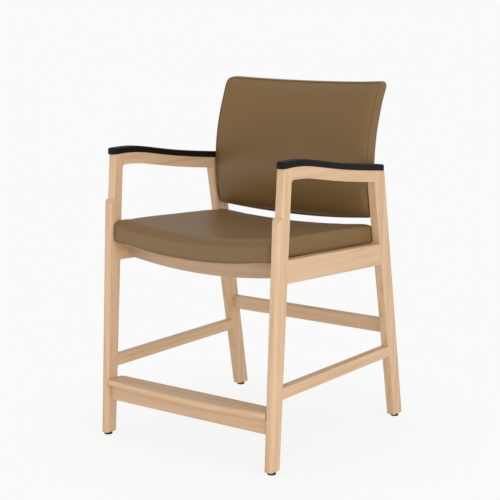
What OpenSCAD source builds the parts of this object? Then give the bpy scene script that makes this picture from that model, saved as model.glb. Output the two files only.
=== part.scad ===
// Hip-height patient chair with a footrest: hardwood frame, dished seat, waisted back, black arm caps.
// The front faces -Y, +X is the sitter's left, and the floor is z = 0.

/* [Frame] */
// Width over the side frames
overall_width = 572; // [520:1:680]
// Thickness of every member of the two side frames
member_thickness = 25.4; // [22:0.1:30]
// Distance from the seat cushion's rear end back to the rear glides
rear_glide_setback = 113; // [90:1:150]
// Height of the arm's top line over the seat rails' top, at the front of the arm
arm_rise = 225.8; // [190:0.1:260]
// How far the arm's top line lies lower at its rear end
arm_drop = 49; // [20:0.1:60]
// Rise of the arm line's guide point behind the front of the arm
arm_crest = 6.5; // [0:0.1:15]
// Rise of the arm line's guide point ahead of the back of the arm
arm_fall = 32.6; // [15:0.1:45]

/* [Front legs] */
// Depth of a front leg at the floor
front_leg_foot = 36; // [32:1:44]
// Lean of the lower front face, in degrees
front_leg_lean_angle = 2.73; // [1:0.01:4]
// Lean of the rear face, in degrees
front_leg_back_angle = 3.66; // [2:0.01:5]
// Distance from the arm's top line down to the sharp line where the shoulder starts
shoulder_drop = 130.3; // [100:0.1:160]
// How far the upper front face stands back from the lower one
shoulder_depth = 12.2; // [6:0.1:14]
// Radius of the hollow where the shoulder meets the upper front face
shoulder_fillet = 9; // [3:0.5:12]
// Lean of the upper front face, in degrees
upper_lean_angle = 4.46; // [2:0.01:6]
// Rounding of the lower front edge on the outside
nose_edge = 12; // [5:0.5:14]
// Rounding of the lower front edge on the inside
nose_inner_edge = 7; // [3:0.5:10]
// Rounding of the upper front edge on the outside
upper_edge = 9; // [4:0.5:12]
// Rounding of the upper front edge on the inside
upper_inner_edge = 4.5; // [2:0.5:7]
// Rounding of the other leg edges
leg_edge = 3.2; // [1.5:0.1:5]

/* [Rear legs] */
// Depth of a rear leg at the floor
rear_leg_foot = 42; // [38:1:50]
// Forward lean of a rear leg's front face, in degrees
rear_leg_front_angle = 10.76; // [8:0.01:12]
// Forward lean of a rear leg's rear face, in degrees
rear_leg_back_angle = 9.81; // [7:0.01:11]
// How far a rear leg's middle stands behind its glide at the floor
rear_leg_setback = 0.5; // [0:0.1:4]

/* [Rails] */
// Height of an arm rail, measured upright
arm_rail_height = 30.5; // [28:0.5:40]
// Radius of the hollow under an arm rail where it meets the front leg
arm_fillet = 3; // [1:0.5:14]
// Height of a seat side rail
seat_rail_height = 59; // [54:1:68]
// Height of a seat side rail's top line where it leaves the front leg
seat_rail_top = 536.5; // [440:0.5:600]
// Lower edge of a side stretcher above the floor
side_stretcher_level = 186.6; // [175:0.1:220]
// Height of a side stretcher
side_stretcher_height = 29.8; // [26:0.1:40]
// Lower edge of the rear stretcher above the floor
rear_stretcher_level = 251; // [235:1:300]
// Height of the rear stretcher
rear_stretcher_height = 39.5; // [30:0.5:50]
// Thickness of the rear stretcher
rear_stretcher_thickness = 20; // [18:0.5:24]
// Rear stretcher's distance from the rear face of the rear legs
rear_stretcher_inset = 9; // [5:0.5:14]
// Thickness of the front and rear seat rails
cross_rail_thickness = 22; // [20:0.5:25]
// Distance from the front glides back to the front seat rail
front_rail_setback = 79; // [72:1:90]
// Distance from the side rails' top down to the front seat rail's lower edge, in the middle
front_rail_drop = 73; // [66:0.5:86]
// Rise of the front seat rail's hollowed lower edge towards the ends
front_rail_arch = 22; // [10:1:24]
// Radius of the corner where that edge turns down to the side rails
front_rail_turn = 12; // [6:1:14]
// Rounding of the rails' edges
rail_edge = 3; // [1:0.5:4.5]

/* [Footrest] */
// Lower edge of the footrest rail above the floor
footrest_level = 98.5; // [85:0.5:115]
// Height of the footrest rail
footrest_rail_height = 39.5; // [34:0.5:46]
// Thickness of the footrest rail
footrest_rail_thickness = 23; // [20:0.5:25]
// Thickness of the footrest tread
tread_thickness = 20; // [18:0.5:24]
// How far the tread's nose stands out from the footrest rail at the ends
tread_overhang = 13; // [8:0.5:16]
// How much further the nose stands out in the middle
tread_bow = 20; // [10:0.5:24]
// Distance from the footrest rail's front to the tread's rear edge
tread_reach = 44; // [40:0.5:60]
// Rounding of the tread's nose
tread_nose = 8; // [4:0.5:8.5]
// Radius of the tread's rear corners in plan
tread_corner = 22; // [10:0.5:26]

/* [Arm caps] */
// Thickness of an arm cap
cap_thickness = 17; // [14:0.5:20]
// How far an arm cap stands out past each face of the arm
cap_overhang = 1.5; // [0.5:0.1:4]
// Rounding of an arm cap's upper edges
cap_edge = 5; // [3:0.5:6]
// Radius of an arm cap's corners in plan
cap_corner = 9; // [5:0.5:10]

/* [Seat] */
// Gap between the upholstery and the side frames
upholstery_gap = 4.6; // [3:0.1:8]
// Slope of the seat towards the back, in degrees
seat_angle = 2.86; // [1:0.01:4]
// How far the pan's underside lies below the side rails' top, in the middle of the front edge
seat_sink = 31.2; // [26:0.1:36]
// Distance from the front glides back to the seat cushion's front
seat_setback = 14; // [8:0.5:20]
// Depth of the seat cushion
seat_depth = 480; // [400:1:540]
// Rise of the seat's hollow from the middle to the sides
seat_dish = 24.5; // [12:0.5:27]
// Thickness of the seat cushion with its pan, at the sides
seat_thickness = 60; // [50:0.5:66]
// Crown of the seat cushion in the middle of its front
seat_front_crown = 4; // [1:0.5:8]
// Crown of the seat cushion in the middle of its back
seat_rear_crown = 12; // [4:0.5:16]
// Thickness of the bent plywood seat pan
pan_thickness = 12; // [10:0.5:14]
// Upholstery left round the seat pan and the back panel
pan_margin = 14; // [12:0.5:18]

/* [Back] */
// Height of the back at its ends
back_height = 367; // [320:1:420]
// Distance from the side rails' top up to the back's lower edge at its ends
back_lift = 46.5; // [42:0.5:60]
// Dip of the top edge in the middle
back_top_dip = 6; // [0:0.5:12]
// Dip of the lower edge in the middle
back_bottom_dip = 18; // [6:0.5:20]
// Height over the back's lower edge at which the back comes furthest forward
waist_rise = 132; // [100:1:160]
// How far the back comes forward there over the seat cushion's rear end
back_advance = 36; // [20:0.5:42]
// How far the top edge leans back from the waist
back_lean = 64; // [40:0.5:80]
// How far the lower edge stands back from the waist
back_kick = 20; // [8:0.5:24]
// Hollow of the back in plan
back_hollow = 22; // [10:0.5:30]
// Thickness of the upholstered back
back_thickness = 48; // [42:0.5:54]
// Crown of the back cushion in the middle
back_crown = 6; // [2:0.5:10]
// Thickness of the bent plywood back panel
panel_thickness = 12; // [10:0.5:14]
// Thickness of the outer back cover
outer_cover_thickness = 7; // [5:0.5:9]

/* [Glides] */
// Diameter of a glide's foot
glide_diameter = 22; // [18:0.5:24]
// Height of a glide's foot
glide_height = 5; // [4:0.5:8]
// Diameter of a glide's stem
glide_stem = 7.9; // [5.9:0.1:9.9]
// Length of a glide's stem
glide_stem_length = 24; // [18:0.5:30]
// How far a glide can be wound out
glide_travel = 8; // [2:0.5:10]

/* [Hidden] */

// Fits, cuts and smoothness
overrun = 2;
glue_clearance = 0.1;
running_clearance = 0.05;
contact_clearance = 0.3;
$fn = 48;
curve_steps = 36;
arc_steps = 8;
half_share = 0.5;

// Colours
wood = [0.85, 0.72, 0.57];
upholstery = [0.47, 0.38, 0.25];
black = [0.12, 0.12, 0.13];
steel = [0.72, 0.73, 0.75];
plywood = [0.80, 0.66, 0.47];
dark = [0.20, 0.18, 0.17];

// Heights and depths that follow from the sizes above
arm_front_height = seat_rail_top + arm_rise;
arm_rear_height = arm_front_height - arm_drop;
shoulder_height = arm_front_height - shoulder_drop;
front_rail_level = seat_rail_top - front_rail_drop;
seat_level = seat_rail_top - seat_sink;
seat_rear = seat_setback + seat_depth;
wheelbase = seat_rear + rear_glide_setback;
back_bottom = seat_rail_top + back_lift;
back_top = back_bottom + back_height;
back_waist = back_bottom + waist_rise;
back_setback = seat_rear - back_advance;

// Side frame planes
outer = overall_width / 2;
inner = outer - member_thickness;
member_middle = (outer + inner) / 2;

// Glides and the leg ends that they carry
insert_flange = 1.5;
insert_flange_radius = 9;
insert_wall = 2;
glide_standoff = 0.5;
glide_edge = 1.5;
leg_ease = 2.5;
insert_bore_radius = glide_stem / 2 + running_clearance;
insert_radius = insert_bore_radius + insert_wall;
insert_length = glide_stem_length - glide_standoff - insert_flange + leg_ease;
leg_bottom = glide_height + glide_standoff + insert_flange;

// A leg face is [y at the floor, tangent of its lean]
front_face = [-front_leg_foot / 2, tan(front_leg_lean_angle)];
front_back_face = [front_leg_foot / 2, tan(front_leg_back_angle)];
rear_leg_middle = wheelbase + rear_leg_setback;
rear_front_face = [rear_leg_middle - rear_leg_foot / 2, -tan(rear_leg_front_angle)];
rear_back_face = [rear_leg_middle + rear_leg_foot / 2, -tan(rear_leg_back_angle)];
function face_at(face, z) = face[0] + face[1] * z;

// Shoulder of a front leg, where a slope of 45 degrees runs out in a hollow
shoulder_angle = 45;
shoulder_start = [face_at(front_face, shoulder_height), shoulder_height];
upper_face = [shoulder_start[0] + shoulder_depth - shoulder_height * tan(upper_lean_angle),
    tan(upper_lean_angle)];
shoulder_run = shoulder_depth / (tan(shoulder_angle) - tan(upper_lean_angle));
shoulder_corner = shoulder_start + shoulder_run * [tan(shoulder_angle), 1];
shoulder_tangent = shoulder_fillet * tan((shoulder_angle - upper_lean_angle) / 2);
shoulder_centre = shoulder_corner - shoulder_tangent * [sin(shoulder_angle), cos(shoulder_angle)]
    + shoulder_fillet * [-cos(shoulder_angle), sin(shoulder_angle)];

// Arm line, a curve through four guide points in the side view
cap_front = face_at(upper_face, arm_front_height) - 3 * cap_overhang;
cap_back = face_at(rear_back_face, arm_rear_height);
arm_crest_share = 0.316;
arm_fall_share = 0.247;
arm_span = cap_back - cap_front;
arm_guides = [
    [cap_front, arm_front_height],
    [cap_front + arm_crest_share * arm_span, arm_front_height + arm_crest],
    [cap_front + arm_fall_share * arm_span, arm_rear_height + arm_fall],
    [cap_back, arm_rear_height]];
function curve_at(g, t) = pow(1 - t, 3) * g[0] + 3 * t * pow(1 - t, 2) * g[1]
    + 3 * t * t * (1 - t) * g[2] + pow(t, 3) * g[3];
arm_line = [for (i = [0:curve_steps]) curve_at(arm_guides, i / curve_steps)];
function arm_top(y) = lookup(y, arm_line);
arm_front_y = face_at(front_back_face, arm_front_height);
arm_rear_y = face_at(rear_front_face, arm_rear_height);

// Seat pieces stand in a frame that slopes with the seat
seat_half = inner - upholstery_gap;
seat_half_depth = seat_depth / 2;
pan_half = seat_half - pan_margin;
pan_half_depth = seat_half_depth - pan_margin;
dish_line = [for (i = [0:curve_steps]) let (x = inner * (2 * i / curve_steps - 1))
    [x, seat_dish * pow(x / seat_half, 2)]];
function seat_rise(x) = lookup(x, dish_line);
function seat_under(y) = seat_level - (y - seat_setback) * tan(seat_angle);

// Cross rails, corner blocks and dust cover
rear_rail_clear = 32;
rear_rail_setback = seat_rear - rear_rail_clear - cross_rail_thickness;
rear_rail_height = 32;
block_leg = 70;
block_height = 14;
block_bolt_side = 34;
block_bolt_rail = 18;
block_screw_offset = 8;
block_screw_grip = 24;
block_screw_rise = 14;
block_screw_gap = 10;
dust_cover_thickness = 0.8;
dust_cover_margin = 6;

// Back
back_half = seat_half;
back_half_height = (back_top - back_bottom) / 2;
panel_half = back_half - pan_margin;
panel_half_height = back_half_height - pan_margin;
cover_margin = 6;
cover_half = back_half - cover_margin;
cover_half_height = back_half_height - cover_margin;
panel_back_level = back_thickness - outer_cover_thickness;
panel_front_level = panel_back_level - panel_thickness;

// Steel angles that hold the back to the rear legs
bracket_steel = 3;
bracket_height = 60;
bracket_arm = 30;
bracket_radius = 1;
bracket_front_inset = 10;
bracket_drop = 37.3;
bracket_centre = arm_rear_height - bracket_drop;
bracket_bolt_side = 26;
bracket_bolt_spacing = 36;

// Fasteners and dowels
dowel_diameter = 8;
dowel_length = 36;
dowel_edge = 1;
arm_dowel_spacing = 14;
seat_dowel_spacing = 32;
stretcher_dowel_spacing = 14;
cross_dowel_spacing = 18;
rear_dowel_spacing = 20;
footrest_dowel_spacing = 20;
screw_diameter = 4.2;
screw_head = 8.4;
screw_head_height = 2.6;
screw_head_clearance = 0.6;
cap_screw_bite = 9;
cap_screw_sink = 12;
cap_screw_shares = [0.24, 0.74];
tread_screw_bite = 14;
tread_screw_sink = 16;
tread_screw_shares = [-0.8, 0, 0.8];
block_screw_length = 40;
bolt_diameter = 6;
bolt_head = 11;
bolt_head_height = 3.6;
bolt_end_clearance = 1;
washer_thickness = 1.6;
washer_radius = 8;
nut_flange_radius = 8.5;
nut_flange = 1.2;
nut_sink = 3.4;
nut_barrel_radius = 4;
nut_barrel = 7.5;
bracket_screw_length = 18;
bracket_screw_spacing = 40;
bracket_screw_setback = 26;
cap_lower_edge = 1;
bolt_pitch_clearance = 0.1;

// The middle of the plan is the origin
front_limit = -(tread_overhang + tread_bow);
rear_limit = face_at(rear_back_face, leg_bottom + leg_ease / (1 + tan(rear_leg_back_angle)));
plan_middle = (front_limit + rear_limit) / 2;

module centred() {
    translate([0, -plan_middle, 0]) children();
}

module on_side(side) {
    if (side < 0) {
        mirror([1, 0, 0]) children();
    } else {
        children();
    }
}

module both_sides() {
    for (side = [-1, 1]) on_side(side) children();
}

// A side-view profile in y and z, given the thickness of a side-frame member
module member() {
    translate([inner, 0, 0]) rotate([90, 0, 90]) linear_extrude(member_thickness) children();
}

// The waste of a rounded edge that runs up from the origin, with the wood towards +x and +y
module edge_waste(length, radius) {
    linear_extrude(length) difference() {
        translate([-overrun, -overrun]) square(radius + overrun);
        translate([radius, radius]) circle(radius);
    }
}

// The waste of one long edge of a leg, from height z0 to z1 along a leaning face
module leg_edge_waste(x, face, turn, radius, z0, z1) {
    lean = atan(face[1]);
    translate([x, face_at(face, z0), z0]) rotate([-lean, 0, 0]) rotate([0, 0, turn])
        edge_waste((z1 - z0) / cos(lean), radius);
}

// The four slopes that ease the foot of a leg between two faces
module foot_ease(front, back) {
    side = leg_ease * sqrt(2);
    front_y = face_at(front, leg_bottom);
    back_y = face_at(back, leg_bottom);
    for (x = [inner, outer]) translate([x, (front_y + back_y) / 2, leg_bottom]) rotate([0, 45, 0])
        cube([side, back_y - front_y + 2 * overrun, side], center = true);
    for (y = [front_y, back_y]) translate([member_middle, y, leg_bottom]) rotate([45, 0, 0])
        cube([member_thickness + 2 * overrun, side, side], center = true);
}

// The waste of both long edges of a leg on the side of its rails, between the rails
module railed_edge_waste(face, turns, levels) {
    for (k = [0:2:len(levels) - 2]) {
        leg_edge_waste(outer, face, turns[0], leg_edge, levels[k], levels[k + 1]);
        leg_edge_waste(inner, face, turns[1], leg_edge, levels[k], levels[k + 1]);
    }
}

// A rounded bar's section, made of squares and circles
module bar_section(width, height, radius) {
    translate([-width / 2, -height / 2 + radius]) square([width, height - 2 * radius]);
    translate([-width / 2 + radius, -height / 2]) square([width - 2 * radius, height]);
    for (x = [-1, 1], y = [-1, 1]) translate([x * (width / 2 - radius), y * (height / 2 - radius)])
        circle(radius);
}

// A closed skin over rings with the same even number of points. Its two ends are closed by fans from
// the rings' middles, or by rungs across where the rings are long and bent.
module skin(rings, fanned = false) {
    n = len(rings[0]);
    m = len(rings);
    end = (m - 1) * n;
    centres = fanned ? [middle_of(rings[0]), middle_of(rings[m - 1])] : [];
    points = concat([for (ring = rings, p = ring) p], centres);
    sides = [for (i = [0:m - 2], j = [0:n - 1]) let (a = i * n + j, b = i * n + (j + 1) % n)
        each [[a, a + n, b], [b, a + n, b + n]]];
    fans = [for (j = [0:n - 1]) let (k = (j + 1) % n) each [[j, k, m * n], [end + k, end + j, m * n + 1]]];
    rungs = [for (j = [0:n / 2 - 2]) let (k = n - 1 - j)
        each [[j, j + 1, k], [j + 1, k - 1, k], [end + k, end + j + 1, end + j],
            [end + k, end + k - 1, end + j + 1]]];
    polyhedron(points, concat(sides, fanned ? fans : rungs));
}

function middle_of(ring) = [for (k = [0:2]) let (row = [for (p = ring) p[k]])
    (row * [for (v = row) 1]) / len(ring)];

// A quarter of a rounded rectangle, and the whole of it
function quarter_ring(half_x, half_y, radius, steps) = concat(
    [for (i = [0:steps[0] - 1]) [half_x, (half_y - radius) * (i + half_share) / steps[0]]],
    [for (i = [0:steps[1]]) [half_x - radius + radius * cos(90 * i / steps[1]),
        half_y - radius + radius * sin(90 * i / steps[1])]],
    [for (i = [steps[2] - 1:-1:0]) [(half_x - radius) * (i + half_share) / steps[2], half_y]]);
function full_ring(quarter) = let (n = len(quarter)) concat(
    quarter,
    [for (i = [n - 1:-1:0]) [-quarter[i][0], quarter[i][1]]],
    [for (i = [0:n - 1]) [-quarter[i][0], -quarter[i][1]]],
    [for (i = [n - 1:-1:0]) [quarter[i][0], -quarter[i][1]]]);

// Levels of a boxed cushion as [inset, level], from its first face to its last
function cushion_levels(thickness, first, last, draw, steps) = concat(
    [for (i = [0:steps]) let (a = 90 * i / steps) [first * (1 - sin(a)), first * (1 - cos(a))]],
    [[draw, first + (thickness - first - last) / 2]],
    [for (i = [0:steps]) let (a = 90 * i / steps) [last * (1 - cos(a)), thickness - last + last * sin(a)]]);

// Rings of a cushion on the outline that quarter_ring() gives, closed by inner rings on both faces
function cushion_rings(half_x, half_y, radius, levels, first_shares, last_shares, place) = let (
    loop = full_ring(quarter_ring(half_x, half_y, radius, [6, 4, 6])),
    last_level = levels[len(levels) - 1][1]) concat(
    [for (share = first_shares) [for (p = loop) place(p * share, 0)]],
    [for (level = levels) [for (p = loop) place([p[0] * (1 - level[0] / half_x),
        p[1] * (1 - level[0] / half_y)], level[1])]],
    [for (share = last_shares) [for (p = loop) place(p * share, last_level)]]);

// Frame members

function shoulder_points() = [for (i = [0:arc_steps])
    let (a = shoulder_angle + (upper_lean_angle - shoulder_angle) * i / arc_steps)
    shoulder_centre + shoulder_fillet * [cos(a), -sin(a)]];

module below_arm_line() {
    polygon(concat([[front_limit, 0], [front_limit, arm_front_height]], arm_line,
        [[rear_limit + overrun, arm_rear_height], [rear_limit + overrun, 0]]));
}

module front_leg_profile() {
    top = arm_front_height + arm_crest;
    polygon(concat(
        [[face_at(front_face, leg_bottom), leg_bottom], shoulder_start],
        shoulder_points(),
        [[face_at(upper_face, top), top], [face_at(front_back_face, top), top],
            [face_at(front_back_face, leg_bottom), leg_bottom]]));
}

module rear_leg_profile() {
    top = arm_rear_height + arm_fall;
    polygon([[face_at(rear_front_face, leg_bottom), leg_bottom], [face_at(rear_front_face, top), top],
        [face_at(rear_back_face, top), top], [face_at(rear_back_face, leg_bottom), leg_bottom]]);
}

module between_legs() {
    top = arm_front_height + arm_crest;
    polygon([[face_at(front_back_face, 0), 0], [face_at(front_back_face, top), top],
        [face_at(rear_front_face, top), top], [face_at(rear_front_face, 0), 0]]);
}

module insert_hole(y) {
    translate([member_middle, y, leg_bottom - overrun])
        cylinder(r = insert_radius + glue_clearance, h = insert_length + 2 * overrun);
}

module front_leg(side) {
    top = arm_front_height + arm_crest;
    shoulder_top = shoulder_corner[1];
    color(wood) on_side(side) difference() {
        member() intersection() {
            front_leg_profile();
            below_arm_line();
        }
        leg_edge_waste(outer, front_face, 90, nose_edge, 0, shoulder_top);
        leg_edge_waste(inner, front_face, 0, nose_inner_edge, 0, shoulder_top);
        leg_edge_waste(outer, upper_face, 90, upper_edge, shoulder_height, top);
        leg_edge_waste(inner, upper_face, 0, upper_inner_edge, shoulder_height, top);
        railed_edge_waste(front_back_face, [180, 270], [0, side_stretcher_level,
            side_stretcher_level + side_stretcher_height, seat_rail_top - seat_rail_upright, seat_rail_top,
            arm_top(arm_front_y) - arm_rail_height - arm_fillet]);
        foot_ease(front_face, front_back_face);
        insert_hole(0);
        arm_front_sites() dowel_bore();
        seat_front_sites() dowel_bore();
        stretcher_front_sites() dowel_bore();
        footrest_sites() dowel_bore();
    }
}

module rear_leg(side) {
    top = arm_rear_height + arm_fall;
    color(wood) on_side(side) difference() {
        member() intersection() {
            rear_leg_profile();
            below_arm_line();
        }
        railed_edge_waste(rear_front_face, [90, 0], [0, side_stretcher_level,
            side_stretcher_level + side_stretcher_height, seat_rail_rear_top - seat_rail_upright,
            seat_rail_rear_top, arm_top(arm_rear_y) - arm_rail_height]);
        leg_edge_waste(outer, rear_back_face, 180, leg_edge, 0, top);
        leg_edge_waste(inner, rear_back_face, 270, leg_edge, 0, top);
        foot_ease(rear_front_face, rear_back_face);
        insert_hole(rear_glide_y);
        arm_rear_sites() dowel_bore();
        seat_rear_sites() dowel_bore();
        stretcher_rear_sites() dowel_bore();
        rear_stretcher_sites() dowel_bore();
        bracket_screw_sites() screw_hole(bracket_screw_length, 0);
    }
}

rear_glide_y = (face_at(rear_front_face, leg_bottom) + face_at(rear_back_face, leg_bottom)) / 2;

// The arm rail's band below the arm line, with a hollow where it meets the front leg
module arm_rail_profile() {
    lower = [for (i = [curve_steps:-1:0]) arm_line[i] - [0, arm_rail_height]];
    fillet_y = arm_front_y;
    fillet_z = arm_top(arm_front_y) - arm_rail_height;
    intersection() {
        between_legs();
        union() {
            polygon(concat(arm_line, lower));
            difference() {
                translate([fillet_y - arm_fillet, fillet_z - arm_fillet]) square(2 * arm_fillet);
                translate([fillet_y + arm_fillet, fillet_z - arm_fillet]) circle(arm_fillet);
            }
        }
    }
}

module arm_rail(side) {
    color(wood) on_side(side) difference() {
        member() arm_rail_profile();
        arm_front_sites() dowel_bore();
        arm_rear_sites() dowel_bore();
        cap_screw_sites() screw_hole(cap_screw_length, cap_screw_sink + overrun);
    }
}

module seat_rail(side) {
    length = rear_leg_middle;
    color(wood) on_side(side) difference() {
        intersection() {
            member() between_legs();
            translate([member_middle, face_at(front_back_face, seat_rail_top), seat_rail_top])
                rotate([-90 - seat_angle, 0, 0])
                translate([0, seat_rail_height / 2, -seat_rail_height / 2])
                linear_extrude(length) bar_section(member_thickness, seat_rail_height, rail_edge);
        }
        seat_front_sites() dowel_bore();
        seat_rear_sites() dowel_bore();
        cross_rail_sites() dowel_bore();
        block_side_screw_sites() screw_hole(block_screw_length, 0);
    }
}

module side_stretcher(side) {
    color(wood) on_side(side) difference() {
        intersection() {
            member() between_legs();
            translate([member_middle, 0, side_stretcher_level + side_stretcher_height / 2])
                rotate([-90, 0, 0]) linear_extrude(rear_leg_middle)
                bar_section(member_thickness, side_stretcher_height, rail_edge);
        }
        stretcher_front_sites() dowel_bore();
        stretcher_rear_sites() dowel_bore();
    }
}

// The space under the seat pan, which the rails and blocks fill up to
module under_seat() {
    span = [for (i = [0:curve_steps]) let (x = inner * (2 * i / curve_steps - 1)) [x, seat_rise(x)]];
    seat_frame() translate([0, seat_depth + overrun, 0]) rotate([90, 0, 0])
        linear_extrude(seat_depth + 2 * overrun)
        polygon(concat(span, [[inner, -seat_level], [-inner, -seat_level]]));
}

module seat_frame() {
    translate([0, seat_setback, seat_level]) rotate([-seat_angle, 0, 0]) children();
}

// Front elevation of the front seat rail, hollow below and turned down at its ends
module front_rail_outline() {
    end = inner - front_rail_turn;
    arch = [for (i = [0:curve_steps]) let (x = end * (1 - 2 * i / curve_steps))
        [x, front_rail_level + front_rail_arch * pow(x / inner, 2)]];
    turn_level = front_rail_level + front_rail_arch;
    difference() {
        polygon(concat([[-inner, seat_rail_top], [inner, seat_rail_top], [inner, turn_level]], arch,
            [[-inner, turn_level]]));
        for (side = [-1, 1]) translate([side * inner, turn_level - front_rail_turn * half_share])
            circle(front_rail_turn);
    }
}

module front_seat_rail() {
    color(wood) difference() {
        intersection() {
            translate([0, front_rail_setback + cross_rail_thickness, 0]) rotate([90, 0, 0])
                linear_extrude(cross_rail_thickness) front_rail_outline();
            under_seat();
        }
        both_sides() cross_rail_sites() dowel_bore();
        both_sides() block_rail_screw_sites() screw_hole(block_screw_length, 0);
    }
}

module rear_seat_rail() {
    level = seat_under(rear_rail_setback) - rear_rail_height;
    color(wood) difference() {
        intersection() {
            translate([-inner, rear_rail_setback, level])
                cube([2 * inner, cross_rail_thickness, rear_rail_height + seat_dish]);
            under_seat();
        }
        both_sides() cross_rail_sites() dowel_bore();
        both_sides() block_rail_screw_sites() screw_hole(block_screw_length, 0);
    }
}

rear_stretcher_middle = face_at(rear_back_face, rear_stretcher_level + rear_stretcher_height / 2)
    - rear_stretcher_inset - rear_stretcher_thickness / 2;

// A rounded bar from one side frame to the other
module cross_bar(y, z, thickness, height) {
    translate([-inner, y, z]) rotate([90, 0, 90]) linear_extrude(2 * inner)
        bar_section(thickness, height, rail_edge);
}

module rear_stretcher() {
    color(wood) difference() {
        cross_bar(rear_stretcher_middle, rear_stretcher_level + rear_stretcher_height / 2,
            rear_stretcher_thickness, rear_stretcher_height);
        both_sides() rear_stretcher_sites() dowel_bore();
    }
}

module footrest_rail() {
    color(wood) difference() {
        cross_bar(footrest_rail_thickness / 2, footrest_level + footrest_rail_height / 2,
            footrest_rail_thickness, footrest_rail_height);
        both_sides() footrest_sites() dowel_bore();
        tread_screw_sites() screw_hole(tread_screw_length, tread_screw_sink + overrun);
    }
}

// The tread is a slice of a large disc with a rounded rim, so its nose is one even bow
tread_end_gap = 0.75;
tread_half = inner - tread_end_gap;
tread_radius = (pow(tread_half, 2) + pow(tread_bow, 2)) / (2 * tread_bow);
tread_level = footrest_level + footrest_rail_height;
tread_top_edge = 4;

module tread_plan() {
    front = front_limit - overrun;
    difference() {
        translate([-tread_half, front]) square([2 * tread_half, tread_reach - front]);
        for (side = [-1, 1]) translate([side * (tread_half - tread_corner), tread_reach - tread_corner])
            difference() {
                translate([side < 0 ? -tread_corner - overrun : 0, 0]) square(tread_corner + overrun);
                circle(tread_corner);
            }
    }
}

module footrest_tread() {
    color(wood) difference() {
        intersection() {
            translate([0, front_limit + tread_radius, tread_level])
                rotate([0, 0, 180]) rotate_extrude($fn = 720) difference() {
                square([tread_radius, tread_thickness]);
                for (level = [0, 1]) translate([tread_radius, level * tread_thickness])
                    rotate([0, 0, level ? 180 : 90]) edge_section(tread_nose);
            }
            translate([0, 0, tread_level - overrun]) linear_extrude(tread_thickness + 2 * overrun)
                tread_plan();
        }
        tread_screw_sites() screw_hole(tread_screw_length, 0);
        translate([-inner, tread_reach, tread_level + tread_thickness]) rotate([0, 90, 0])
            rotate([0, 0, 270]) edge_waste(2 * inner, tread_top_edge);
    }
}

module edge_section(radius) {
    difference() {
        translate([-overrun, -overrun]) square(radius + overrun);
        translate([radius, radius]) circle(radius);
    }
}

// A corner block fills the corner of the seat frame and carries the seat on a bolt
module corner_block(side, rear) {
    rail_y = rear ? rear_rail_setback : front_rail_setback + cross_rail_thickness;
    way = rear ? -1 : 1;
    color(plywood) on_side(side) difference() {
        intersection() {
            translate([inner, rail_y, seat_under(rail_y) - block_height])
                linear_extrude(block_height + 2 * seat_dish)
                polygon([[0, 0], [-block_leg, 0], [0, way * block_leg]]);
            under_seat();
        }
        block_side_screw_sites() screw_hole(block_screw_length, block_leg);
        block_rail_screw_sites() screw_hole(block_screw_length, block_leg);
        seat_bolt_sites() bolt_bore(seat_bolt_length);
    }
}

// Arm caps follow the arm line, with a rounded section and rounded ends
module arm_cap(side) {
    half = member_thickness / 2 + cap_overhang;
    ends = [for (i = [0:5]) cap_corner * (1 - cos(18 * i))];
    front_end = [for (end = ends) [cap_front + end, end]];
    rear_end = [for (i = [len(ends) - 1:-1:0]) [cap_back - ends[i], ends[i]]];
    middle = [for (p = arm_line) if (p[0] > cap_front + cap_corner && p[0] < cap_back - cap_corner)
        [p[0], cap_corner]];
    color(black) on_side(side) difference() {
        skin([for (station = concat(front_end, middle, rear_end)) cap_section(station[0],
            half - round_over(station[1], cap_corner), cap_thickness - round_over(station[1], cap_edge))]);
        cap_screw_sites() screw_hole(cap_screw_length, 0);
    }
}

// How far a rounded corner stands back at a distance from its end
function round_over(distance, radius) = distance < radius
    ? radius - sqrt(pow(radius, 2) - pow(radius - distance, 2)) : 0;

function cap_section(y, half, height) = let (
    base = arm_top(y),
    right = concat([[half - cap_lower_edge, 0], [half, cap_lower_edge]],
        [for (i = [0:4]) [half - cap_edge + cap_edge * cos(22.5 * i),
            height - cap_edge + cap_edge * sin(22.5 * i)]]),
    n = len(right)) concat(
    [for (p = right) [member_middle - p[0], y, base + p[1]]],
    [for (i = [n - 1:-1:0]) [member_middle + right[i][0], y, base + right[i][1]]]);

// Seat

module pan_band(half_x, half_y, low, high) {
    line = concat([-half_x], [for (p = dish_line) if (abs(p[0]) < half_x) p[0]], [half_x]);
    seat_frame() translate([0, seat_half_depth + half_y, 0]) rotate([90, 0, 0])
        linear_extrude(2 * half_y) polygon(concat(
            [for (x = line) [x, seat_rise(x) + low]],
            [for (i = [len(line) - 1:-1:0]) [line[i], seat_rise(line[i]) + high]]));
}

module seat_pan() {
    color(plywood) difference() {
        pan_band(pan_half, pan_half_depth, 0, pan_thickness);
        both_sides() seat_nut_sites() nut_bore();
    }
}

module seat_cushion() {
    lower = 8;
    upper = 20;
    draw = 2;
    corner = 12;
    way = function(y) half_share * (1 + y / seat_half_depth);
    crown = function(p) (seat_front_crown + (seat_rear_crown - seat_front_crown) * way(p[1]))
        * (1 - pow(p[0] / seat_half, 2));
    place = function(p, level)
        [p[0], seat_half_depth + p[1], seat_rise(p[0]) + level + crown(p) * level / seat_thickness];
    color(upholstery) difference() {
        seat_frame() skin(cushion_rings(seat_half, seat_half_depth, corner,
            cushion_levels(seat_thickness, lower, upper, draw, 4), [0.6], [0.8, 0.55, 0.25], place), true);
        pan_band(pan_half, pan_half_depth, -seat_dish, pan_thickness);
    }
}

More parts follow.
